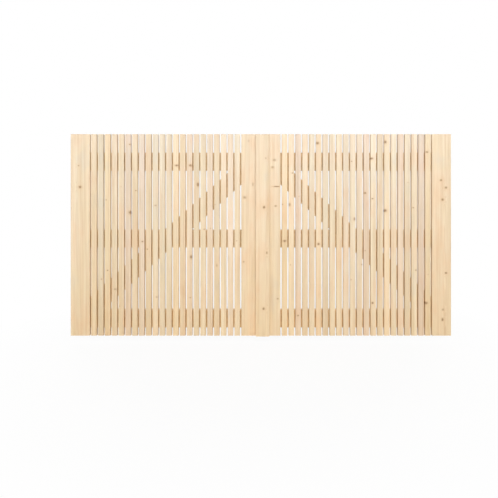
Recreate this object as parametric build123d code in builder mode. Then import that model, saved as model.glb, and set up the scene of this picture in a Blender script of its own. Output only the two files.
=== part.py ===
from build123d import *

import os
from math import asin, atan2, degrees, hypot, tan

# A double-leaf slatted timber gate, hung by strap hinges on four pintle plates.
# Millimetres. +X runs along the gate, +Y points away from the slatted front, +Z is up.
# The origin is the middle of the flat fixing face of the lower left pintle plate. The right leaf mirrors
# the left one, so every place along the gate is written as a distance from its own side's fixing face.

# Leaf
gate_height = 1800.0
slats_per_leaf = 22
slats_per_node = 2
slat_width = 49.0
slat_gap = 12.0
slat_thickness = 28.0
stile_width = 170.0
board_chamfer = 3.0

# Rails and braces, on the back of the slats. The bottom rail's rise is from the gate's foot to its lower
# edge, and the top rail's drop from the gate's top to its upper edge.
rail_width = 160.0
rail_thickness = 45.0
bottom_rail_rise = 64.0
top_rail_drop = 161.0
middle_rail_share = 0.509
brace_width = 160.0
brace_inset = 32.0

# Meeting edge. The cover strip is fixed to the right leaf and laps the left one with a rebate.
meeting_gap = 10.0
strip_width = 120.0
strip_thickness = 22.0
strip_lap = 40.0
strip_drop = 8.0
strip_clearance = 5.0

# Strap hinges
strap_length = 450.0
strap_height = 40.0
strap_thickness = 5.0
strap_end_round_share = 0.45
strap_hole_radius = 4.5
strap_hole_count = 4
strap_first_hole = 70.0
strap_last_hole_inset = 28.0
eye_seam = 1.5

# Pintles
pin_radius = 8.0
pin_clearance = 0.3
pin_chamfer = 2.0
pin_stand = 5.0
lug_length = 20.0
lug_radius = 13.0
lug_thickness = 18.0
plate_width = 64.0
plate_height = 100.0
plate_thickness = 6.0
plate_round = 6.0
plate_pin_edge = 16.0
plate_hole_radius = 5.5
plate_hole_edge = 18.0
plate_hole_spacing = 64.0
leaf_clearance = 6.0

# Places along the gate
leaf_start = plate_thickness + leaf_clearance
slat_pitch = slat_width + slat_gap
slats_start = leaf_start + stile_width + slat_gap
leaf_width = 2 * stile_width + slats_per_leaf * slat_pitch + slat_gap
leaf_end = leaf_start + leaf_width
opening_width = 2 * leaf_end + meeting_gap
pin_reach = plate_thickness + lug_length

# Places in depth
eye_inner = pin_radius + pin_clearance
eye_outer = eye_inner + strap_thickness
pin_y = plate_pin_edge - plate_width / 2
rail_back = pin_y - eye_outer
slat_back = rail_back - rail_thickness
gate_front = slat_back - slat_thickness
strap_back = rail_back + strap_thickness
plate_hole_y = plate_width / 2 - plate_hole_edge

# Heights
lug_to_eye = lug_thickness / 2 + pin_clearance
gate_foot = -(bottom_rail_rise + (rail_width - strap_height) / 2 - lug_to_eye)
bottom_foot = gate_foot + bottom_rail_rise
top_foot = gate_foot + gate_height - top_rail_drop - rail_width
rail_foots = {
    "bottom": bottom_foot,
    "middle": bottom_foot + (top_foot - bottom_foot) * middle_rail_share,
    "top": top_foot,
}
hinge_rails = {"lower": "bottom", "upper": "top"}

# The brace's upper edge starts in the lower hinge-side corner of the panel between the outer rails, and
# its lower edge ends in the upper meeting-side corner.
brace_run = leaf_width - 2 * brace_inset
brace_foot = bottom_foot + rail_width
brace_rise = top_foot - brace_foot
brace_angle = atan2(brace_rise, brace_run) + asin(brace_width / hypot(brace_run, brace_rise))
brace_slope = tan(brace_angle)

os.makedirs("parts", exist_ok=True)


def across(side, distance):
    """The x of a place that lies a distance from the fixing face of its side."""
    return distance if side == "left" else opening_width - distance


def keep(piece, label):
    """Label a finished piece and write it."""
    piece.part.label = label
    export_step(piece.part, f"parts/{label}.step")


def upright_boards(label, side, starts, width):
    """Planed boards of the slatted front, standing side by side, with their long edges eased."""
    with BuildPart() as boards:
        with BuildSketch(Plane.XY.offset(gate_foot)):
            for start in starts:
                with Locations((across(side, start + width / 2), slat_back - slat_thickness / 2)):
                    Rectangle(width, slat_thickness)
        extrude(amount=gate_height)
        chamfer(boards.edges().filter_by(Axis.Z), board_chamfer)
    keep(boards, label)


def rail(label, side, foot):
    """A ledger rail across the back of one leaf."""
    with BuildPart() as ledger:
        with BuildSketch(Plane.YZ.offset(across(side, leaf_start))):
            with Locations((rail_back - rail_thickness / 2, foot + rail_width / 2)):
                Rectangle(rail_thickness, rail_width)
        extrude(amount=across(side, leaf_end) - across(side, leaf_start), dir=(1, 0, 0))
        chamfer(ledger.edges().filter_by(Axis.X), board_chamfer)
    keep(ledger, label)


def brace(label, side, foot, top):
    """The length of the diagonal brace between two rails, cut level against both."""

    def corner(height, drop):
        run = (height + drop - brace_foot) / brace_slope
        return (across(side, leaf_start + brace_inset + run), height)

    upright_width = brace_width * hypot(1, brace_slope)
    with BuildPart() as diagonal:
        with BuildSketch(Plane.XZ.offset(-rail_back)):
            with BuildLine():
                Polyline(
                    corner(foot, 0),
                    corner(top, 0),
                    corner(top, upright_width),
                    corner(foot, upright_width),
                    close=True,
                )
            make_face()
        extrude(amount=rail_thickness)
        lean = degrees(brace_angle) if side == "left" else -degrees(brace_angle)
        grain = Axis((0, 0, 0), Vector(1, 0, 0).rotate(Axis.Y, -lean))
        chamfer(diagonal.edges().filter_by(grain), board_chamfer)
    keep(diagonal, label)


def strap(label, side, rail_foot):
    """A strap hinge on the back of a rail: a flat bar rolled into an eye round the pin."""
    foot = rail_foot + (rail_width - strap_height) / 2
    pin = (across(side, pin_reach), pin_y)
    hole_step = (strap_length - strap_first_hole - strap_last_hole_inset) / (strap_hole_count - 1)
    with BuildPart() as hinge:
        with BuildSketch(Plane.XY.offset(foot)):
            with Locations(pin):
                Circle(eye_outer)
            with Locations((across(side, pin_reach + strap_length / 2), rail_back + strap_thickness / 2)):
                Rectangle(strap_length, strap_thickness)
            with Locations(pin):
                Circle(eye_inner, mode=Mode.SUBTRACT)
            with Locations((across(side, pin_reach + eye_outer / 2), strap_back + eye_seam / 2)):
                Rectangle(eye_outer, eye_seam, mode=Mode.SUBTRACT)
        extrude(amount=strap_height)
        tip = hinge.edges().filter_by(Axis.Y).group_by(Axis.X)[-1 if side == "left" else 0]
        fillet(tip, strap_height * strap_end_round_share)
        for hole in range(strap_hole_count):
            hole_x = across(side, pin_reach + strap_first_hole + hole * hole_step)
            with Locations(Plane((hole_x, strap_back, foot + strap_height / 2), z_dir=(0, 1, 0))):
                Hole(strap_hole_radius)
    keep(hinge, label)


def pintle(label, side, rail_foot):
    """A fixing plate with a round-nosed lug that carries the eye, and the hinge pin that stands on it."""
    lug_top = rail_foot + (rail_width - strap_height) / 2 - pin_clearance
    plate_middle = lug_top - lug_thickness / 2
    pin_x = across(side, pin_reach)
    inward = (1, 0, 0) if side == "left" else (-1, 0, 0)
    with BuildPart() as bracket:
        with BuildSketch(Plane.XY.offset(lug_top)):
            with Locations((pin_x, pin_y)):
                Circle(pin_radius)
        extrude(amount=pin_clearance + strap_height + pin_stand)
        chamfer(bracket.edges().group_by(Axis.Z)[-1], pin_chamfer)
        with BuildSketch(Plane.XY.offset(lug_top)):
            with Locations((pin_x, pin_y)):
                Circle(lug_radius)
            with Locations((across(side, plate_thickness + lug_length / 2), pin_y)):
                Rectangle(lug_length, 2 * lug_radius)
        extrude(amount=-lug_thickness)
        with BuildSketch(Plane.YZ.offset(across(side, 0))):
            with Locations((0, plate_middle)):
                RectangleRounded(plate_width, plate_height, plate_round)
            with Locations((plate_hole_y, plate_middle)):
                with GridLocations(plate_hole_spacing, plate_hole_spacing, 1, 2):
                    Circle(plate_hole_radius, mode=Mode.SUBTRACT)
        extrude(amount=plate_thickness, dir=inward)
    keep(bracket, label)


def cover_strip():
    """The strip over the meeting edges, rebated on its back where it laps the left leaf."""
    right_side = across("right", leaf_end) + strip_width - strip_lap - meeting_gap
    left_side = right_side - strip_width
    rebate = strip_lap + meeting_gap
    with BuildPart() as strip:
        with BuildSketch(Plane.XY.offset(gate_foot)):
            with Locations(((left_side + right_side) / 2, gate_front - strip_thickness / 2)):
                Rectangle(strip_width, strip_thickness)
            with Locations((left_side + rebate / 2, gate_front - strip_clearance / 2)):
                Rectangle(rebate, strip_clearance, mode=Mode.SUBTRACT)
        extrude(amount=gate_height - strip_drop)
        chamfer(strip.edges().filter_by(Axis.Z).group_by(Axis.Y)[0], board_chamfer)
    keep(strip, "cover_strip")


for side in ("left", "right"):
    upright_boards(f"{side}_outer_stile", side, [leaf_start], stile_width)
    upright_boards(f"{side}_inner_stile", side, [leaf_end - stile_width], stile_width)
    for first in range(0, slats_per_leaf, slats_per_node):
        last = min(first + slats_per_node, slats_per_leaf)
        starts = [slats_start + slat * slat_pitch for slat in range(first, last)]
        upright_boards(f"{side}_slats_{first + 1:02d}_{last:02d}", side, starts, slat_width)
    for height, foot in rail_foots.items():
        rail(f"{side}_{height}_rail", side, foot)
    brace(f"{side}_lower_brace", side, brace_foot, rail_foots["middle"])
    brace(f"{side}_upper_brace", side, rail_foots["middle"] + rail_width, top_foot)
    for height, carrier in hinge_rails.items():
        strap(f"{side}_{height}_strap", side, rail_foots[carrier])
        pintle(f"{side}_{height}_pintle", side, rail_foots[carrier])
cover_strip()
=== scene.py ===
"""Looks of a double-leaf slatted spruce gate: planed boards with grain and knots, galvanised hinges, screws.

Every board is a section carried along its grain. Its vertices also carry where they lie in the log that the
board was sawn from, where the nearest knot is, and the board's own tone, and one wood material reads those.
"""

import bpy
import numpy as np
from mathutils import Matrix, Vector


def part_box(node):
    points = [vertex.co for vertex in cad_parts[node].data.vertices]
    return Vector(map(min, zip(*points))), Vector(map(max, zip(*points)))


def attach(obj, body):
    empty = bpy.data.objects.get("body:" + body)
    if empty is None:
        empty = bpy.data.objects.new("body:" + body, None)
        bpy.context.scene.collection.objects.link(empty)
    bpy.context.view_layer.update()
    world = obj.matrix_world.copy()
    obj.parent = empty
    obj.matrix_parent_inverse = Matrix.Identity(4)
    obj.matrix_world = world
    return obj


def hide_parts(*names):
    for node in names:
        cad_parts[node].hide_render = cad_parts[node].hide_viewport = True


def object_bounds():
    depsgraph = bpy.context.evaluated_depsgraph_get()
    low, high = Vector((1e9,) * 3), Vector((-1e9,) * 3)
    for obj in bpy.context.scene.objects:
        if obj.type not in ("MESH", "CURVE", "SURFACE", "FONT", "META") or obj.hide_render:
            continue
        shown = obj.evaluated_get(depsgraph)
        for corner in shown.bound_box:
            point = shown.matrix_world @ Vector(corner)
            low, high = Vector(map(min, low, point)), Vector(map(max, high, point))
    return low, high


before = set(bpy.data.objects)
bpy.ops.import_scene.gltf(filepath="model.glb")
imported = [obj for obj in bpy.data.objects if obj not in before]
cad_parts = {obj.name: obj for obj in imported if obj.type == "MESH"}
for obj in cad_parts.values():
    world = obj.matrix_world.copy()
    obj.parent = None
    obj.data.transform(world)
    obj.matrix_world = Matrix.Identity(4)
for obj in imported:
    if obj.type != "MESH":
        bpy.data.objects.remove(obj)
cad_low, cad_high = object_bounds()

# Photograph: its side in pixels, where the camera's axis meets it, and the scale in the slats' plane
PHOTO_SIDE = 498
AXIS_PX = (260.9, 206.9)
METRES_PER_PX = 0.00893
CAMERA_DISTANCE = 3.35
CAMERA_RISE = 1.15
SENSOR = 36.0

# Boards: two widths, the cover strip's rebate across and in depth, and the easing of the long edges
SLAT_WIDTH = 0.049
BRACE_WIDTH = 0.160
REBATE = (0.050, 0.005)
EASE = 0.0035
SUPPORT = 0.0055
STRIP_EASE_SHARE = 0.5
EASE_STEPS = 4
STATION = 0.020
SHARP_ANGLE = np.radians(40)

# Logs: how far the pith lies from a board's middle, how it drifts, and the length that boards are cut from
PITH_OFFSET = (0.02, 0.09)
PITH_DEPTH = (0.02, 0.07)
PITH_DRIFT = 0.012
LOG_LENGTH = 40

# Knots: how far along a board each one reaches, and the small ones that fall by chance
KNOT_REACH = 0.075
KNOT_CLEARANCE = 2.5 * KNOT_REACH
SMALL_KNOT = (0.0025, 0.0050)
SMALL_KNOT_STRETCH = (0.8, 1.6)
SMALL_KNOT_SPACING = 2.40
SMALL_KNOT_ALONG = (0.2, 0.8)
SMALL_KNOT_ACROSS = (-0.4, 0.4)
SMALL_KNOT_STRENGTH = 0.8

# Tones as shares: lightness, hue along the tone ramp, and strength of the growth rings. Each slat draws its own
# between two limits, and so does the face of each brace. The face of rails and braces that lies against the slats
# is painted with the warm light bounced between the slats: warmer than their backs and lighter, the bottom rail
# most.
WIDE_TONES = {
    "left_outer_stile": (0.47, 0.28, 0.5), "left_inner_stile": (0.38, 0.26, 0.8), "cover_strip": (0.37, 0.26, 0.9),
    "right_inner_stile": (0.44, 0.36, 0.7), "right_outer_stile": (0.48, 0.28, 0.8),
}
SLAT_TONES = ((0.18, 0.12, 0.0), (0.62, 0.88, 1.0))
RAIL_TONES = {"bottom_rail": (0.46, 0.20, 0.5), "middle_rail": (0.38, 0.34, 0.4), "top_rail": (0.42, 0.26, 0.6)}
RAIL_PAINTED_GAP_LIGHT_TONES = {"bottom_rail": (0.90, 0.0, 0.5), "middle_rail": (0.65, 0.02, 0.4), "top_rail": (0.55, 0.02, 0.6)}
BRACE_TONE = (0.44, 0.22, 0.5)
BRACE_PAINTED_GAP_LIGHT_TONES = ((0.50, 0.0, 0.2), (0.75, 0.03, 0.8))

# Fasteners. A profile is rows of a share of the radius and a height. The washer's top ends under the head, at a
# share of the head's own radius.
SCREW_RADIUS = 0.0045
SCREW_PROFILE = ((1.0, -0.0004), (1.0, 0.0002), (0.86, 0.0006), (0.45, 0.0008), (0.40, -0.0006))
SCREW_SEGMENTS = 10
SCREW_EDGE = 0.042
SCREW_STAGGER = 0.006
SCREW_CLEARANCE = 2 * SCREW_RADIUS
STILE_SCREW_INSET = 0.040
STRIP_SCREWS_PER_SPACE = 3
BRACE_END_CLEARANCE = 0.055
STRAP_THICKNESS = 0.005
EYE_RADIUS = 0.0133
HOLE_FIRST = 0.070
HOLE_TIP = 0.028
HOLE_COUNT = 4
WASHER_RADIUS = 0.0105
WASHER_PROFILE = ((1.0, 0.0), (1.0, 0.0013), (0.96, 0.0017))
WASHER_SEGMENTS = 24
WASHER_END = 0.8
HEX_ACROSS = 0.013
HEX_SIDES = 6
HEX_PROFILE = ((1.0, 0.0017), (1.0, 0.0062), (0.97, 0.0068), (0.84, 0.0072), (0.5, 0.0073))

# Studio. The camera sees the floor as white, less a share of its shadow near the gate.
WHITE = (1.0, 1.0, 1.0, 1.0)
GROUND_CLEARANCE = 0.060
FLOOR_SIDE = 60.0
FLOOR_COLOUR = (0.80, 0.80, 0.80, 1.0)
FLOOR_ROUGHNESS = 0.9
FLOOR_FADE = (1.2, 2.6)
FLOOR_GLOW = 0.92
SURROUND_STRENGTH = 0.25

# Softboxes: each one's place from the gate's middle, the slats' front and the gate's foot, its width and height,
# its watts, and the place across and the level that it faces
LAMPS = (
    ("key", (0.6, -9.0, 6.5), (3.6, 3.0), 324.0, 0.0, 0.9),
    ("left_side", (-3.4, -5.6, 5.4), (2.0, 1.6), 96.0, -3.4, 0.9),
    ("right_side", (3.4, -5.6, 5.4), (2.0, 1.6), 98.0, 3.4, 0.9),
    ("left_wash", (-1.7, -1.6, 3.4), (1.6, 0.4), 12.0, -1.7, 1.8),
    ("right_wash", (1.7, -1.6, 3.4), (1.6, 0.4), 12.0, 1.7, 1.8),
    ("front_fill", (0.0, -4.8, 0.4), (5.4, 0.8), 31.0, 0.0, 0.9),
    ("left_back", (-3.4, 3.2046, 3.2), (2.0, 2.0), 64.0, -1.7, 0.9),
    ("right_back", (3.4, 3.2046, 3.2), (2.0, 2.0), 64.0, 1.7, 0.9),
)

SIDES = ("left", "right")
LEVELS = ("lower", "upper")
SLAT_NODES = [f"slats_{n:02d}_{n + 1:02d}" for n in range(1, 23, 2)]
STILES = ("outer_stile", "inner_stile")
RAILS = ("bottom_rail", "middle_rail", "top_rail")
BRACES = ("lower_brace", "upper_brace")
STEEL = ("lower_strap", "upper_strap", "lower_pintle", "upper_pintle")

X_AXIS, Y_AXIS, Z_AXIS = np.eye(3)
SEED = 20
rng = np.random.default_rng(SEED)

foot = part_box("left_outer_stile")[0].z
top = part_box("left_outer_stile")[1].z
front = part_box("left_outer_stile")[0].y
middle = (cad_low.x + cad_high.x) / 2

# Knots on the front, each by its distance from the gate's middle, its height above the foot, its half width
# across and along the board, and how strongly it shows
FRONT_KNOTS = np.array([
    (-1.615, 1.328, 0.011, 0.010, 0.95), (-1.628, 1.519, 0.007, 0.006, 0.47), (-1.164, 1.100, 0.014, 0.013, 1.00),
    (-0.753, 1.520, 0.012, 0.007, 0.95), (-0.629, 1.520, 0.012, 0.009, 0.94), (-0.562, 1.350, 0.009, 0.015, 1.00),
    (-0.623, 0.703, 0.008, 0.013, 1.00), (-1.057, 0.841, 0.009, 0.006, 0.69), (-0.146, 1.234, 0.014, 0.011, 0.54),
    (-0.110, 1.740, 0.008, 0.011, 0.20), (0.028, 1.147, 0.009, 0.010, 1.00), (0.024, 0.247, 0.009, 0.009, 1.00),
    (0.044, 1.583, 0.005, 0.006, 0.47), (0.121, 1.569, 0.014, 0.012, 0.46), (0.104, 1.510, 0.012, 0.013, 0.75),
    (0.140, 1.332, 0.026, 0.004, 1.00), (0.131, 1.158, 0.009, 0.006, 0.78), (0.505, 1.719, 0.012, 0.010, 1.00),
    (1.112, 1.730, 0.009, 0.011, 0.95), (0.988, 1.582, 0.012, 0.008, 1.00), (0.930, 1.274, 0.008, 0.008, 0.98),
    (1.108, 1.117, 0.013, 0.010, 1.00), (0.514, 0.819, 0.010, 0.009, 1.00), (0.211, 0.846, 0.012, 0.009, 1.00),
    (0.255, 1.171, 0.010, 0.015, 0.62), (0.836, 1.042, 0.008, 0.012, 0.75), (1.483, 1.640, 0.009, 0.006, 0.99),
    (1.474, 0.292, 0.014, 0.010, 0.99), (0.997, 0.292, 0.008, 0.008, 1.00), (0.331, 0.180, 0.008, 0.006, 0.76),
    (1.608, 1.388, 0.008, 0.008, 0.85), (1.653, 1.325, 0.009, 0.010, 1.00), (1.622, 1.215, 0.009, 0.009, 1.00),
    (1.653, 0.560, 0.009, 0.007, 1.00), (1.622, 0.144, 0.008, 0.012, 1.00), (1.626, 0.233, 0.009, 0.009, 0.50),
    (0.053, 0.743, 0.005, 0.010, 0.67), (0.150, 0.330, 0.009, 0.007, 0.50), (-1.171, 1.708, 0.006, 0.005, 0.85),
    (-0.941, 1.163, 0.010, 0.006, 0.41), (-0.360, 1.596, 0.006, 0.008, 0.35), (-1.300, 0.415, 0.012, 0.008, 0.40),
    (-0.394, 0.627, 0.008, 0.012, 0.35), (-0.930, 0.345, 0.009, 0.007, 0.35), (-0.155, 0.660, 0.007, 0.006, 0.52),
    (-0.071, 1.351, 0.006, 0.014, 0.43),
])


# Board surfaces

def eased_section(corners, ease, support):
    """A board's section as a closed outline. Each corner c becomes the parabola
    (1-t)^2 p + 2t(1-t) c + t^2 q, where p and q lie one ease before and after c, with a support point
    a little further out on both sides so that the wide faces shade flat."""
    c = np.asarray(corners, float)
    back = np.roll(c, 1, axis=0) - c
    ahead = np.roll(c, -1, axis=0) - c
    back /= np.linalg.norm(back, axis=1, keepdims=True)
    ahead /= np.linalg.norm(ahead, axis=1, keepdims=True)
    t = np.linspace(0, 1, EASE_STEPS)[None, :, None]
    p = (c + ease * back)[:, None]
    q = (c + ease * ahead)[:, None]
    arc = (1 - t) ** 2 * p + 2 * t * (1 - t) * c[:, None] + t ** 2 * q
    outline = np.concatenate([(c + support * back)[:, None], arc, (c + support * ahead)[:, None]], axis=1)
    return outline.reshape(-1, 2)


def plain_section(width, thickness):
    """The eased rectangle of a planed board, centred on its own axis."""
    a, d = width / 2, thickness / 2
    return eased_section([(-a, -d), (a, -d), (a, d), (-a, d)], EASE, SUPPORT)


def random_knots(length, width):
    """Small knots strewn along a board, as (across, along, half width, half length, strength) rows, about one
    to each spacing."""
    count = rng.poisson(length / SMALL_KNOT_SPACING)
    along = (np.arange(count) + rng.uniform(*SMALL_KNOT_ALONG, count)) * length / max(count, 1)
    across = rng.uniform(*SMALL_KNOT_ACROSS, count) * width
    size = rng.uniform(*SMALL_KNOT, count)
    wide = size * rng.uniform(*SMALL_KNOT_STRETCH, count)
    return np.column_stack([across, along, wide, size, np.full(count, SMALL_KNOT_STRENGTH)])


def nearest_knot(a, s, knots):
    """For each vertex, its offset from the knot that is nearest along the board, in the knot's half widths,
    and the knot's strength, or 0 beyond its reach and beside a station that another knot is nearest to."""
    if len(knots) == 0:
        return np.zeros(a.shape + (3,))
    index = np.abs(s[..., None] - knots[:, 1]).argmin(axis=-1)
    near = knots[index]
    lag = s - near[..., 1]
    same = np.pad(index[1:] == index[:-1], ((1, 1), (0, 0)), constant_values=True)
    present = (np.abs(lag) < KNOT_REACH) & same[1:] & same[:-1]
    return np.stack([(a - near[..., 0]) / near[..., 2], lag / near[..., 3], near[..., 4] * present], axis=-1)


def skin(rows, columns):
    """Quads of a grid that closes round its columns, as an array of vertex indices."""
    here = np.arange(rows - 1)[:, None] * columns + np.arange(columns)
    turn = np.arange(rows - 1)[:, None] * columns + np.roll(np.arange(columns), -1)
    return np.stack([here, turn, turn + columns, here + columns], axis=-1).reshape(-1, 4)


def board(origin, along, across, depth, section, length, slope=0.0, knots=None, tone=None, painted_gap_light_tone=None):
    """One board: the surface origin + a across + d depth + (slope a + v length) along, where (a, d) runs round
    the section and v from 0 to 1, and a flat cap on each end. The slope cuts both ends askew. A painted gap light
    tone, for the warm light bounced between the slats, goes on the face of least depth. Returns vertices, quads,
    end caps and the three vertex attributes."""
    a, d = section.T
    stations = max(2, int(np.ceil(length / STATION)) + 1)
    s = slope * a + np.linspace(0, 1, stations)[:, None] * length
    ring_a = np.broadcast_to(a, s.shape)
    ring_d = np.broadcast_to(d, s.shape)
    points = origin + ring_a[..., None] * across + ring_d[..., None] * depth + s[..., None] * along

    all_knots = random_knots(length, np.ptp(a))
    if knots is not None and len(knots):
        apart = np.abs(all_knots[:, 1, None] - knots[:, 1]).min(axis=1) > KNOT_CLEARANCE
        all_knots = np.vstack([all_knots[apart], knots])
    knot = nearest_knot(ring_a, s, all_knots)

    pith = rng.choice([-1, 1], 2) * rng.uniform((PITH_OFFSET[0], PITH_DEPTH[0]), (PITH_OFFSET[1], PITH_DEPTH[1]))
    drift = rng.uniform(-PITH_DRIFT, PITH_DRIFT)
    log = np.stack([ring_a - pith[0] - drift * s, ring_d - pith[1], s + rng.uniform(0, LOG_LENGTH)], axis=-1)

    columns = len(a)
    caps = stations * columns + np.arange(2 * columns).reshape(2, columns)
    caps[0] = caps[0, ::-1]

    def with_caps(values):
        return np.concatenate([values.reshape(-1, values.shape[-1]), values[0], values[-1]])

    shade = rng.uniform(*SLAT_TONES) if tone is None else np.array(tone)
    tones = np.tile(np.append(shade, 0.0), (stations + 2, columns, 1))
    if painted_gap_light_tone is not None:
        tones[:, np.isclose(d, d.min()), :3] = painted_gap_light_tone
    tones[stations:, :, 3] = 1.0
    tones = tones.reshape(-1, 4)
    return with_caps(points), skin(stations, columns), caps, with_caps(log), with_caps(knot), tones


def boards_piece(name, boards, body, node, material):
    """Join boards into one mesh that stands for a CAD node and rides on its body."""
    points, quads, caps, logs, knots, tones = zip(*boards)
    bases = np.cumsum([0] + [len(p) for p in points[:-1]])
    faces = [face for base, q, c in zip(bases, quads, caps) for face in (q + base).tolist() + (c + base).tolist()]
    mesh = bpy.data.meshes.new(name)
    mesh.from_pydata(np.concatenate(points).tolist(), [], faces)
    for label, kind, rows in (("log", "FLOAT_VECTOR", logs), ("knot", "FLOAT_VECTOR", knots),
                              ("tone", "FLOAT_COLOR", tones)):
        values = np.concatenate(rows).astype(np.float32)
        attribute = mesh.attributes.new(label, kind, "POINT")
        attribute.data.foreach_set("color" if kind == "FLOAT_COLOR" else "vector", values.ravel())
    return place(name, mesh, body, material, node)


def place(name, mesh, body, material, node=None):
    """Put a finished mesh into the scene on its body, shaded smooth but for its sharp edges."""
    mesh.update()
    mesh.shade_smooth()
    mesh.set_sharp_from_angle(angle=SHARP_ANGLE)
    mesh.materials.append(material)
    piece = bpy.data.objects.new(name, mesh)
    bpy.context.scene.collection.objects.link(piece)
    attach(piece, body)
    if node:
        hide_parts(node)
    return piece


def corners_of(node):
    """A CAD node's lowest and highest corners as arrays."""
    return tuple(np.array(corner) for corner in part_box(node))


def knots_on(low, high):
    """The front knots that lie on an upright board, in its own frame. Those on the cover strip's stretch belong
    to the strip, which is the foremost board, and not to the stiles behind it."""
    x = FRONT_KNOTS[:, 0] + middle
    strip_low, strip_high = corners_of("cover_strip")
    hidden = (x > strip_low[0]) & (x < strip_high[0]) & (low[1] > strip_low[1])
    mine = FRONT_KNOTS[(x > low[0]) & (x < high[0]) & ~hidden].copy()
    mine[:, 0] += middle - (low[0] + high[0]) / 2
    return mine


def upright(low, high, section=None, tone=None):
    """An upright board that fills a box, its grain along +Z."""
    centre = (low + high) / 2
    section = plain_section(high[0] - low[0], high[1] - low[1]) if section is None else section
    origin = np.array([centre[0], centre[1], low[2]])
    return board(origin, Z_AXIS, X_AXIS, Y_AXIS, section, high[2] - low[2], knots=knots_on(low, high), tone=tone)


def rail_board(low, high, tone, painted_gap_light_tone):
    """A rail that fills a box, its grain along +X. Its face against the slats carries a painted tone for the warm
    light bounced between the slats.
    """
    centre = (low + high) / 2
    origin = np.array([low[0], centre[1], centre[2]])
    section = plain_section(high[2] - low[2], high[1] - low[1])
    return board(origin, X_AXIS, -Z_AXIS, Y_AXIS, section, high[0] - low[0], tone=tone, painted_gap_light_tone=painted_gap_light_tone)


def brace_lie(low, high, side):
    """How a brace lies in its box: its lean a follows from X sin a - H cos a = width, where X and H are the
    box's run and height. Returns the grain's direction, the direction across it and the lean."""
    run, rise = high[0] - low[0], high[2] - low[2]
    lean = np.arctan2(rise, run) + np.arcsin(BRACE_WIDTH / np.hypot(run, rise))
    mirror = 1 if side == "left" else -1
    along = np.array([mirror * np.cos(lean), 0, np.sin(lean)])
    across = np.array([mirror * np.sin(lean), 0, -np.cos(lean)]) * mirror
    return along, across, lean


def brace_board(low, high, side):
    """A brace with level ends: the along place of each end changes by the lean's cotangent across the board."""
    along, across, lean = brace_lie(low, high, side)
    mirror = 1 if side == "left" else -1
    centre = (low + high) / 2
    length = (high[2] - low[2]) / np.sin(lean)
    slope = mirror / np.tan(lean)
    section = plain_section(BRACE_WIDTH, high[1] - low[1])
    origin = centre - along * length / 2
    # The face against the slats takes a painted tone for the warm light bounced between the slats.
    painted_gap_light_tone = rng.uniform(*BRACE_PAINTED_GAP_LIGHT_TONES)
    return board(origin, along, across, Y_AXIS, section, length, slope=slope, tone=BRACE_TONE, painted_gap_light_tone=painted_gap_light_tone)


def strip_section(low, high):
    """The cover strip's section: a rectangle less the rebate behind its left edge."""
    a, d = (high[0] - low[0]) / 2, (high[1] - low[1]) / 2
    step_a, step_d = -a + REBATE[0], d - REBATE[1]
    corners = [(-a, -d), (a, -d), (a, d), (step_a, d), (step_a, step_d), (-a, step_d)]
    return eased_section(corners, EASE * STRIP_EASE_SHARE, SUPPORT * STRIP_EASE_SHARE)


# Fasteners

def lathe(profile, segments, sides=0):
    """A turned shape about +Z: the profile's (radius, height) rows carried round a circle, or round a regular
    polygon, whose radius at an angle is cos(half a sector) / cos(angle from the side's middle)."""
    angle = np.linspace(0, 2 * np.pi, segments, endpoint=False)
    radius, height = np.asarray(profile, float).T
    outline = np.ones(segments)
    if sides:
        sector = 2 * np.pi / sides
        outline = np.cos(sector / 2) / np.cos(angle % sector - sector / 2)
    reach = radius[:, None] * outline
    height = np.broadcast_to(height[:, None], reach.shape)
    points = np.stack([reach * np.cos(angle), reach * np.sin(angle), height], axis=-1)
    ends = np.stack([np.arange(segments)[::-1], np.arange(segments) + (len(radius) - 1) * segments])
    return points.reshape(-1, 3), skin(len(radius), segments), ends


def fasteners_piece(name, shapes, places, body, material):
    """One mesh of many like fasteners, each standing out of the back, along +Y, at its place and turned by
    chance about its own axis."""
    places = np.asarray(places)
    spin = rng.uniform(0, 2 * np.pi, len(places))
    cos, sin = np.cos(spin)[:, None], np.sin(spin)[:, None]
    points, faces, base = [], [], 0
    for turned, quads, ends in shapes:
        x = turned[:, 0] * cos - turned[:, 1] * sin
        z = -turned[:, 1] * cos - turned[:, 0] * sin
        y = np.broadcast_to(turned[:, 2], x.shape)
        points.append((np.stack([x, y, z], axis=-1) + places[:, None]).reshape(-1, 3))
        steps = base + np.arange(len(places))[:, None, None] * len(turned)
        faces += (quads + steps).reshape(-1, 4).tolist() + (ends + steps).reshape(-1, ends.shape[1]).tolist()
        base += len(points[-1])
    mesh = bpy.data.meshes.new(name)
    mesh.from_pydata(np.concatenate(points).tolist(), [], faces)
    return place(name, mesh, body, material)


def screw_head():
    """A countersunk screw head: a low dome with a sunk round drive."""
    return [lathe([(SCREW_RADIUS * share, height) for share, height in SCREW_PROFILE], SCREW_SEGMENTS)]


def coach_screw():
    """A hexagon head on a washer. The head's radius is to its corners."""
    radius = HEX_ACROSS / 2 / np.cos(np.pi / HEX_SIDES)
    washer = [(WASHER_RADIUS * share, height) for share, height in WASHER_PROFILE]
    washer.append((radius * WASHER_END, washer[-1][1]))
    head = [(radius * share, height) for share, height in HEX_PROFILE]
    return [lathe(washer, WASHER_SEGMENTS), lathe(head, HEX_SIDES, HEX_SIDES)]


def slat_middles(side):
    """The x of every slat of a leaf."""
    edges = [corners_of(f"{side}_{node}") for node in SLAT_NODES]
    return np.sort([x for low, high in edges for x in (low[0] + SLAT_WIDTH / 2, high[0] - SLAT_WIDTH / 2)])


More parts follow.
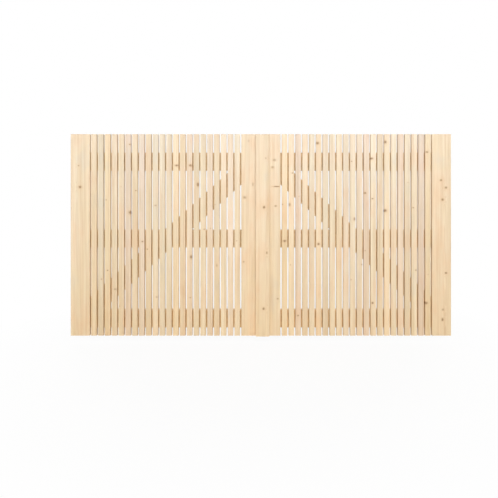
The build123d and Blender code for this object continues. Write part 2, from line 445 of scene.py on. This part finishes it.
def rail_screws(side):
    """Screw places on the back of a leaf: two to each slat and four to each stile on every rail, and one to
    each slat along the braces' middle lines, less those that the straps cover."""
    stiles = [corners_of(f"{side}_{name}") for name in STILES]
    stile_x = np.array([x for low, high in stiles for x in (low[0] + STILE_SCREW_INSET, high[0] - STILE_SCREW_INSET)])
    slat_x = slat_middles(side)
    columns = np.concatenate([slat_x, stile_x])
    stagger = np.where(np.arange(len(columns)) % 2, SCREW_STAGGER, -SCREW_STAGGER)
    places = []
    for name in RAILS:
        low, high = corners_of(f"{side}_{name}")
        for z in (low[2] + SCREW_EDGE, high[2] - SCREW_EDGE):
            places.append(np.column_stack([columns, np.full(len(columns), high[1]), z + stagger]))
    for name in BRACES:
        low, high = corners_of(f"{side}_{name}")
        along = brace_lie(low, high, side)[0]
        centre = (low + high) / 2
        z = centre[2] + (slat_x - centre[0]) * along[2] / along[0]
        inside = (z > low[2] + BRACE_END_CLEARANCE) & (z < high[2] - BRACE_END_CLEARANCE)
        x = slat_x[inside]
        places.append(np.column_stack([x, np.full(len(x), high[1]), z[inside]]))
    places = np.concatenate(places)
    clear = np.ones(len(places), bool)
    for level in LEVELS:
        low, high = corners_of(f"{side}_{level}_strap")
        over = (places > low - SCREW_CLEARANCE) & (places < high + SCREW_CLEARANCE)
        clear &= ~(over[:, 0] & over[:, 2])
    return places[clear]


def strip_screws():
    """Screw places on the back of the right inner stile, in a row behind the cover strip, three to each space
    between the rails and one beyond the outer rails."""
    stile_low, stile_high = corners_of("right_inner_stile")
    x = (stile_low[0] + corners_of("cover_strip")[1][0]) / 2
    rails = [corners_of(f"right_{name}") for name in RAILS]
    spaces = [np.linspace(below[1][2], above[0][2], STRIP_SCREWS_PER_SPACE + 2)[1:-1]
              for below, above in zip(rails, rails[1:])]
    ends = [(stile_low[2] + rails[0][0][2]) / 2, (stile_high[2] + rails[-1][1][2]) / 2]
    z = np.concatenate(spaces + [ends])
    return np.column_stack([np.full(len(z), x), np.full(len(z), stile_high[1]), z])


def strap_screws(side):
    """The places of the coach screws in the straps' holes."""
    places = []
    back = corners_of(f"{side}_bottom_rail")[1][1] + STRAP_THICKNESS
    for level in LEVELS:
        low, high = corners_of(f"{side}_{level}_strap")
        eye_end, tip, inward = (low[0], high[0], 1) if side == "left" else (high[0], low[0], -1)
        first = eye_end + inward * (EYE_RADIUS + HOLE_FIRST)
        x = np.linspace(first, tip - inward * HOLE_TIP, HOLE_COUNT)
        places.append(np.column_stack([x, np.full(HOLE_COUNT, back), np.full(HOLE_COUNT, (low[2] + high[2]) / 2)]))
    return np.concatenate(places)


# Materials. Colours are linear. A grain is a noise's scale across the board, in its depth and along it, its
# detail and its roughness. A span is the stretch of a value that runs from nothing to all.

PLAIN_DETAIL = 3.0
PLAIN_ROUGHNESS = 0.5
NOISE_SPAN = (0.2, 0.8)
SOFT_SPAN = (0.3, 0.7)

# Spruce: grain
STREAK = ((52.0, 52.0, 1.2), 4.0, 0.62)
FIBRE = ((900.0, 900.0, 16.0), 3.0, 0.65)
BAND = ((20.0, 20.0, 0.5), 2.0, PLAIN_ROUGHNESS)
PATCH = ((7.0, 7.0, 3.6), PLAIN_DETAIL, PLAIN_ROUGHNESS)
WAVER = ((14.0, 14.0, 1.1), 2.0, PLAIN_ROUGHNESS)
STREAK_SPAN = (0.28, 0.72)

# Spruce: growth rings, which end in a dark late wood
RING_WIDTH = 0.0046
RING_WAVER = 0.009
RING_TAPER = 0.007
KNOT_PUSH = 0.012
LATE_RISE = 2.6
LATE_END = (1.0, 0.88)
LATE_STRENGTHS = (0.22, 0.52)
LATE_COLOUR = (0.63, 0.41, 0.22, 1.0)

# Spruce: knots, from the middle outwards in the knot's half widths
FRAY_SCALE = 150.0
FRAY = 0.40
CORE_SPAN = (1.10, 0.55)
CORE_SHARE = 0.92
CORE_STOPS = ((0.0, (0.34, 0.20, 0.105)), (0.55, (0.44, 0.265, 0.14)), (0.9, (0.22, 0.125, 0.065)))
CORE_RINGS = 4.5
CORE_RING_SHARE = 0.38
CORE_RING_COLOUR = (0.20, 0.115, 0.06, 1.0)
CHECK_TURNS = 1.5
CHECK_TWIST = 9.0
CHECK_SPAN = (0.16, 0.04)
CHECK_REACH = (0.9, 0.3)
CHECK_SHARE = 0.8
CHECK_COLOUR = (0.07, 0.04, 0.022, 1.0)
RIM_SPAN = (2.1, 0.9)
RIM_SHARE = 0.55
RIM_COLOUR = (0.55, 0.35, 0.18, 1.0)
HALO_FALL = -0.09
HALO_SHARE = 0.34
HALO_COLOUR = (0.76, 0.53, 0.31, 1.0)

# Spruce: colours of the early wood, and the tints that multiply them by board, by patch and by height. The height
# tint is painted light: the wood paler and cooler toward the top and warmer toward the foot.
EARLY_STOPS = ((0.0, (0.780, 0.595, 0.398)), (0.5, (0.872, 0.710, 0.515)), (1.0, (0.930, 0.795, 0.615)))
BOARD_STOPS = ((0.0, (0.985, 0.875, 0.660)), (0.1, (1.0, 0.985, 0.870)), (0.2, (1.0, 0.980, 0.940)),
               (0.4, (0.985, 1.0, 1.0)), (0.6, (0.960, 0.995, 1.02)), (0.8, (0.975, 0.965, 1.03)),
               (1.0, (0.945, 1.0, 1.12)))
PATCH_STOPS = ((0.0, (0.945, 0.975, 1.0)), (0.3, (0.990, 1.0, 0.97)), (0.6, (1.0, 1.0, 1.0)),
               (1.0, (1.0, 0.935, 0.890)))
HEIGHT_PAINTED_LIGHT_STOPS = ((0.0, (1.0, 0.942, 0.842)), (1.0, (0.988, 1.008, 1.055)))
BOARD_LIGHTS = (0.90, 1.10)
FIBRE_LIGHTS = (0.95, 1.04)
BAND_LIGHTS = (0.93, 1.04)
END_LIGHTS = (1.0, 0.84)

# Spruce: sheen and relief
SPRUCE_ROUGHNESS = (0.54, 0.70)
SPRUCE_SPECULAR = 0.35
FIBRE_RELIEF = 0.6
CORE_RELIEF = 0.5
SPRUCE_BUMP = (0.0004, 0.5)

# Zinc
SPANGLE_SCALE = 150.0
SPANGLE_SHARE = 0.55
CLOUD_SCALE = 22.0
CLOUD_DETAIL = 4.0
CLOUD_SHARE = 0.45
ZINC_STOPS = ((0.15, (0.36, 0.375, 0.39)), (0.55, (0.50, 0.515, 0.53)), (0.9, (0.64, 0.655, 0.665)))
ZINC_METALLIC = 0.85
ZINC_ROUGHNESS = (0.36, 0.55)
ZINC_BUMP = (0.0006, 0.4)


class Nodes:
    """A node tree under construction: short calls that add nodes and join them."""

    def __init__(self, tree):
        self.tree = tree

    def node(self, kind, inputs=(), **settings):
        made = self.tree.nodes.new(kind)
        for key, value in settings.items():
            setattr(made, key, value)
        for key, value in dict(inputs).items():
            self.feed(made.inputs[key], value)
        return made

    def feed(self, socket, value):
        if isinstance(value, bpy.types.NodeSocket):
            self.tree.links.new(value, socket)
        else:
            socket.default_value = value

    def math(self, operation, *values):
        return self.node("ShaderNodeMath", enumerate(values), operation=operation).outputs[0]

    def times(self, first, second):
        return self.math("MULTIPLY", first, second)

    def xyz(self, vector):
        return self.node("ShaderNodeSeparateXYZ", {"Vector": vector}).outputs

    def flat_length(self, xyz):
        """The length of a vector's X and Y parts."""
        flat = self.node("ShaderNodeCombineXYZ", {"X": xyz["X"], "Y": xyz["Y"]}).outputs[0]
        return self.node("ShaderNodeVectorMath", {0: flat}, operation="LENGTH").outputs["Value"]

    def noise(self, vector, scale, detail=PLAIN_DETAIL, roughness=PLAIN_ROUGHNESS):
        made = self.node("ShaderNodeTexNoise", {"Vector": vector, "Scale": scale, "Detail": detail,
                                                "Roughness": roughness})
        return made.outputs["Fac"]

    def grain(self, vector, scales, detail, roughness):
        """Noise that is drawn out along one way."""
        scaled = self.node("ShaderNodeVectorMath", {0: vector, 1: scales}, operation="MULTIPLY")
        return self.noise(scaled.outputs[0], 1.0, detail, roughness)

    def ramp(self, factor, stops):
        made = self.node("ShaderNodeValToRGB", {"Fac": factor})
        elements = made.color_ramp.elements
        while len(elements) < len(stops):
            elements.new(0.5)
        for element, (position, colour) in zip(elements, stops):
            element.position = position
            element.color = (*colour, 1.0)
        return made.outputs["Color"]

    def span(self, value, low, high, to_low=0.0, to_high=1.0):
        """Carry a stretch of a value over to another stretch, and stop at its ends."""
        made = self.node("ShaderNodeMapRange", {"Value": value, "From Min": low, "From Max": high,
                                                "To Min": to_low, "To Max": to_high})
        return made.outputs["Result"]

    def mix(self, factor, first, second, blend="MIX"):
        """Blend two colours, which are the node's inputs 6 and 7 and its output 2."""
        made = self.node("ShaderNodeMix", data_type="RGBA", blend_type=blend, clamp_factor=True)
        self.feed(made.inputs["Factor"], factor)
        self.feed(made.inputs[6], first)
        self.feed(made.inputs[7], second)
        return made.outputs[2]

    def seen(self):
        """1 for rays that show a surface to the camera, straight or mirrored, and 0 for those that light it."""
        ray = self.node("ShaderNodeLightPath").outputs
        mirrored = self.math("MAXIMUM", ray["Is Glossy Ray"], ray["Is Transmission Ray"])
        return self.math("MAXIMUM", ray["Is Camera Ray"], mirrored)


class Finish(Nodes):
    """A material under construction."""

    def __init__(self, name):
        self.material = bpy.data.materials.new(name)
        self.material.use_nodes = True
        super().__init__(self.material.node_tree)
        self.shader = self.tree.nodes["Principled BSDF"]

    def attribute(self, name):
        return self.node("ShaderNodeAttribute", attribute_name=name).outputs

    def place_here(self):
        """The place on the piece, in the gate's own frame."""
        return self.node("ShaderNodeTexCoord").outputs["Object"]

    def surface(self, **values):
        """Set the shader's inputs, with an underscore for each space in a name."""
        for name, value in values.items():
            self.feed(self.shader.inputs[name.replace("_", " ")], value)

    def bump(self, height, distance, strength):
        made = self.node("ShaderNodeBump", {"Height": height, "Distance": distance, "Strength": strength})
        self.tree.links.new(made.outputs["Normal"], self.shader.inputs["Normal"])


def spruce_finish():
    """Planed spruce. The growth rings are shells about the log's pith that narrow up the stem, so a board's face
    shows stripes and flames and its end shows arcs. Knots push the rings aside, and each board has its own tone."""
    f = Finish("planed_spruce")
    log = f.attribute("log")["Vector"]
    log_xyz = f.xyz(log)
    knot_xyz = f.xyz(f.attribute("knot")["Vector"])
    tones = f.attribute("tone")
    tone = f.node("ShaderNodeSeparateColor", {"Color": tones["Color"]}).outputs

    present = knot_xyz["Z"]
    far = f.flat_length(knot_xyz)
    ragged = f.math("ADD", far, f.span(f.noise(log, FRAY_SCALE), *NOISE_SPAN, -FRAY, FRAY))
    core = f.times(f.span(ragged, *CORE_SPAN), present)
    rim = f.times(f.span(ragged, *RIM_SPAN), present)
    halo = f.times(f.math("EXPONENT", f.times(f.times(far, far), HALO_FALL)), present)

    waver = f.span(f.grain(log, *WAVER), 0.0, 1.0, -RING_WAVER, RING_WAVER)
    pushed = f.math("ADD", f.times(log_xyz["Z"], RING_TAPER), f.times(halo, KNOT_PUSH))
    grown = f.math("ADD", f.math("ADD", f.flat_length(log_xyz), waver), pushed)
    year = f.math("FRACT", f.math("DIVIDE", grown, RING_WIDTH))
    late = f.times(f.math("POWER", year, LATE_RISE), f.span(year, *LATE_END))
    late = f.times(late, f.span(tone["Blue"], 0.0, 1.0, *LATE_STRENGTHS))

    fibre = f.grain(log, *FIBRE)
    light = f.times(f.span(tone["Red"], 0.0, 1.0, *BOARD_LIGHTS), f.span(fibre, *NOISE_SPAN, *FIBRE_LIGHTS))
    light = f.times(light, f.span(f.grain(log, *BAND), *SOFT_SPAN, *BAND_LIGHTS))
    light = f.times(light, f.span(tones["Alpha"], 0.0, 1.0, *END_LIGHTS))

    colour = f.ramp(f.span(f.grain(log, *STREAK), *STREAK_SPAN), EARLY_STOPS)
    height = f.xyz(f.place_here())["Z"]
    for tint in (
        # The board tone, which on the faces of rails and braces against the slats is painted gap light
        f.ramp(tone["Green"], BOARD_STOPS),
        f.ramp(f.span(f.grain(log, *PATCH), *SOFT_SPAN), PATCH_STOPS),
        # Painted light: paler and cooler toward the top, warmer toward the foot, as on a gate lit from above
        f.ramp(f.span(height, foot, top), HEIGHT_PAINTED_LIGHT_STOPS),
        f.node("ShaderNodeCombineXYZ", {"X": light, "Y": light, "Z": light}).outputs[0],
    ):
        colour = f.mix(1.0, colour, tint, "MULTIPLY")
    colour = f.mix(late, colour, LATE_COLOUR)
    colour = f.mix(f.times(halo, HALO_SHARE), colour, HALO_COLOUR)
    colour = f.mix(f.times(rim, RIM_SHARE), colour, RIM_COLOUR)

    knot_year = f.math("FRACT", f.times(ragged, CORE_RINGS))
    turn = f.times(f.math("ARCTAN2", knot_xyz["Y"], knot_xyz["X"]), CHECK_TURNS)
    twist = f.times(log_xyz["Z"], CHECK_TWIST)
    check = f.math("ABSOLUTE", f.math("SINE", f.math("ADD", turn, twist)))
    check = f.times(f.span(check, *CHECK_SPAN), f.span(far, *CHECK_REACH))
    heart = f.ramp(far, CORE_STOPS)
    heart = f.mix(f.times(knot_year, CORE_RING_SHARE), heart, CORE_RING_COLOUR)
    heart = f.mix(f.times(check, CHECK_SHARE), heart, CHECK_COLOUR)
    colour = f.mix(f.times(core, CORE_SHARE), colour, heart)

    roughness = f.span(fibre, *NOISE_SPAN, *SPRUCE_ROUGHNESS)
    f.surface(Base_Color=colour, Roughness=roughness, Specular_IOR_Level=SPRUCE_SPECULAR)
    relief = f.math("SUBTRACT", f.times(fibre, FIBRE_RELIEF), late)
    f.bump(f.math("SUBTRACT", relief, f.times(core, CORE_RELIEF)), *SPRUCE_BUMP)
    return f.material


def galvanised_finish():
    """Hot-dip zinc: pale grey spangles of slightly different shade and sheen."""
    f = Finish("galvanised_steel")
    here = f.place_here()
    spangle = f.node("ShaderNodeTexVoronoi", {"Vector": here, "Scale": SPANGLE_SCALE})
    shade = f.node("ShaderNodeSeparateColor", {"Color": spangle.outputs["Color"]}).outputs["Red"]
    cloud = f.noise(here, CLOUD_SCALE, CLOUD_DETAIL)
    grey = f.ramp(f.math("ADD", f.times(shade, SPANGLE_SHARE), f.times(cloud, CLOUD_SHARE)), ZINC_STOPS)
    f.surface(Base_Color=grey, Metallic=ZINC_METALLIC, Roughness=f.span(shade, 0.0, 1.0, *ZINC_ROUGHNESS))
    f.bump(cloud, *ZINC_BUMP)
    return f.material


# Studio

def floor():
    """A wide plain floor below the gate. Rays that light the gate meet it as pale grey."""
    f = Finish("pale_floor")
    f.surface(Base_Color=FLOOR_COLOUR, Roughness=FLOOR_ROUGHNESS)
    offset = f.node("ShaderNodeVectorMath", {0: f.place_here(), 1: (middle, 0.0, 0.0)}, operation="SUBTRACT")
    reach = f.node("ShaderNodeVectorMath", {0: offset.outputs[0]}, operation="LENGTH").outputs["Value"]
    share = f.times(f.seen(), f.span(reach, *FLOOR_FADE, FLOOR_GLOW, 1.0))
    glow = f.node("ShaderNodeEmission", {"Color": WHITE, "Strength": 1.0})
    blend = f.node("ShaderNodeMixShader", {0: share, 1: f.shader.outputs[0], 2: glow.outputs[0]})
    f.feed(f.tree.nodes["Material Output"].inputs["Surface"], blend.outputs[0])

    half = FLOOR_SIDE / 2
    level = foot - GROUND_CLEARANCE
    mesh = bpy.data.meshes.new("floor")
    mesh.from_pydata([(middle - half, -half, level), (middle + half, -half, level),
                      (middle + half, half, level), (middle - half, half, level)], [], [(0, 1, 2, 3)])
    mesh.materials.append(f.material)
    piece = bpy.data.objects.new("floor", mesh)
    bpy.context.scene.collection.objects.link(piece)


def surround():
    """A surround that the camera sees as white and that lights the gate softly."""
    world = bpy.data.worlds.new("surround")
    world.use_nodes = True
    n = Nodes(world.node_tree)
    soft = n.tree.nodes["Background"]
    n.feed(soft.inputs["Color"], WHITE)
    n.feed(soft.inputs["Strength"], SURROUND_STRENGTH)
    white = n.node("ShaderNodeBackground", {"Color": WHITE, "Strength": 1.0})
    choose = n.node("ShaderNodeMixShader", {0: n.seen(), 1: soft.outputs[0], 2: white.outputs[0]})
    n.feed(n.tree.nodes["World Output"].inputs["Surface"], choose.outputs[0])
    bpy.context.scene.world = world


def softbox(name, offset, size, watts, across, level):
    """A rectangular lamp that faces the gate at a place across from its middle and a level above its foot."""
    lamp = bpy.data.lights.new(name, "AREA")
    lamp.shape = "RECTANGLE"
    lamp.size, lamp.size_y = size
    lamp.energy = watts
    box = bpy.data.objects.new(name, lamp)
    box.location = Vector((middle, front, foot)) + Vector(offset)
    aim = Vector((middle + across, 0.0, foot + level)) - box.location
    box.rotation_euler = aim.to_track_quat("-Z", "Y").to_euler()
    bpy.context.scene.collection.objects.link(box)


def studio():
    """A white floor and surround, a distant key in front, a lamp on each side of it, a wash close to each leaf, a low
    fill, and two lamps behind."""
    bpy.context.scene.view_settings.view_transform = "Standard"
    floor()
    surround()
    for lamp in LAMPS:
        softbox(*lamp)


def photo_camera():
    """The photograph's view: level, square to the gate, its axis at the place that AXIS_PX gives."""
    data = bpy.data.cameras.new("camera")
    data.sensor_width = SENSOR
    data.lens = SENSOR * CAMERA_DISTANCE / (METRES_PER_PX * PHOTO_SIDE)
    data.shift_x = 0.5 - AXIS_PX[0] / PHOTO_SIDE
    data.shift_y = AXIS_PX[1] / PHOTO_SIDE - 0.5
    camera = bpy.data.objects.new("camera", data)
    camera.location = (middle, front - CAMERA_DISTANCE, foot + CAMERA_RISE)
    camera.rotation_euler = (np.pi / 2, 0, 0)
    bpy.context.scene.collection.objects.link(camera)
    bpy.context.scene.camera = camera


# The gate

def slat_pair(node):
    """A node's two slats, one at each end of its box."""
    low, high = corners_of(node)
    first_high, second_low = high.copy(), low.copy()
    first_high[0] = low[0] + SLAT_WIDTH
    second_low[0] = high[0] - SLAT_WIDTH
    return [upright(low, first_high), upright(second_low, high)]


spruce = spruce_finish()
zinc = galvanised_finish()

for side in SIDES:
    body = f"{side}_leaf"
    for name in STILES:
        node = f"{side}_{name}"
        boards_piece(f"{node}_board", [upright(*corners_of(node), tone=WIDE_TONES[node])], body, node, spruce)
    for name in SLAT_NODES:
        node = f"{side}_{name}"
        boards_piece(f"{node}_boards", slat_pair(node), body, node, spruce)
    for name in RAILS:
        node = f"{side}_{name}"
        rail = rail_board(*corners_of(node), RAIL_TONES[name], RAIL_PAINTED_GAP_LIGHT_TONES[name])
        boards_piece(f"{node}_board", [rail], body, node, spruce)
    for name in BRACES:
        node = f"{side}_{name}"
        boards_piece(f"{node}_board", [brace_board(*corners_of(node), side)], body, node, spruce)
    fasteners_piece(f"{side}_rail_screws", screw_head(), rail_screws(side), body, zinc)
    fasteners_piece(f"{side}_strap_screws", coach_screw(), strap_screws(side), body, zinc)
    for name in STEEL:
        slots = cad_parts[f"{side}_{name}"].data.materials
        slots.clear()
        slots.append(zinc)

low, high = corners_of("cover_strip")
strip = upright(low, high, strip_section(low, high), WIDE_TONES["cover_strip"])
boards_piece("cover_strip_board", [strip], "right_leaf", "cover_strip", spruce)
fasteners_piece("strip_screws", screw_head(), strip_screws(), "right_leaf", zinc)

studio()
photo_camera()
